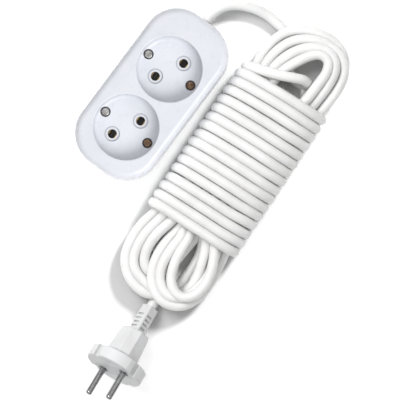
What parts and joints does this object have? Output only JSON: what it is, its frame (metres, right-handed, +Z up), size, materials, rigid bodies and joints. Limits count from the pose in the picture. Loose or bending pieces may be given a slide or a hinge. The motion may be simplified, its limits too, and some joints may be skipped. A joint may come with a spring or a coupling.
{
  "type": "extension cord",
  "caption": "Extension cord: a flat block with round two-pin wells, a hank of round white cord, and a moulded plug with a round flange and round pins.",
  "frame": {"origin": "centre of the socket block's flat underside", "axes": "+Y along the block towards the end where the cord leaves, +Z up out of the wells, +X across the block towards the hank"},
  "size_m": [0.1315, 0.2667, 0.0373],
  "materials": {
    "cover_plastic": "smooth moulded, satin gloss, slightly cool white",
    "base_plastic": "moulded, fine matt grain, white",
    "screw_steel": "zinc plated",
    "contact_brass": "stamped",
    "rivet_brass": "headed",
    "cord_pvc": "extruded soft PVC sheath, satin, white",
    "brown_core": "insulation, brown",
    "blue_core": "insulation, blue",
    "copper_wire": "bare stranded copper",
    "plug_pvc": "soft moulded PVC, satin, white",
    "bridge_plastic": "rigid moulded, light grey",
    "pin_plating": "nickel plated brass"
  },
  "bodies": {
    "root": {"top_cover": "cover_plastic", "base_plate": "base_plastic", "cover_screws": "screw_steel", "line_busbar": "contact_brass", "neutral_busbar": "contact_brass", "line_clips": "contact_brass", "neutral_clips": "contact_brass", "clip_rivets": "rivet_brass", "line_terminal": "contact_brass", "neutral_terminal": "contact_brass", "terminal_screws": "screw_steel", "clamp_bar": "base_plastic", "clamp_screws": "screw_steel", "inner_sheath": "cord_pvc", "live_core": "brown_core", "neutral_core": "blue_core", "wire_ends": "copper_wire", "cord_lead": "cord_pvc", "cord_hank": "cord_pvc", "cord_tail": "cord_pvc", "plug_body": "plug_pvc", "plug_relief": "plug_pvc", "plug_bridge": "bridge_plastic", "line_pin": "pin_plating", "neutral_pin": "pin_plating", "plug_crimps": "contact_brass", "plug_live_core": "brown_core", "plug_neutral_core": "blue_core", "plug_sheath_end": "cord_pvc"}
  },
  "joints": []
}
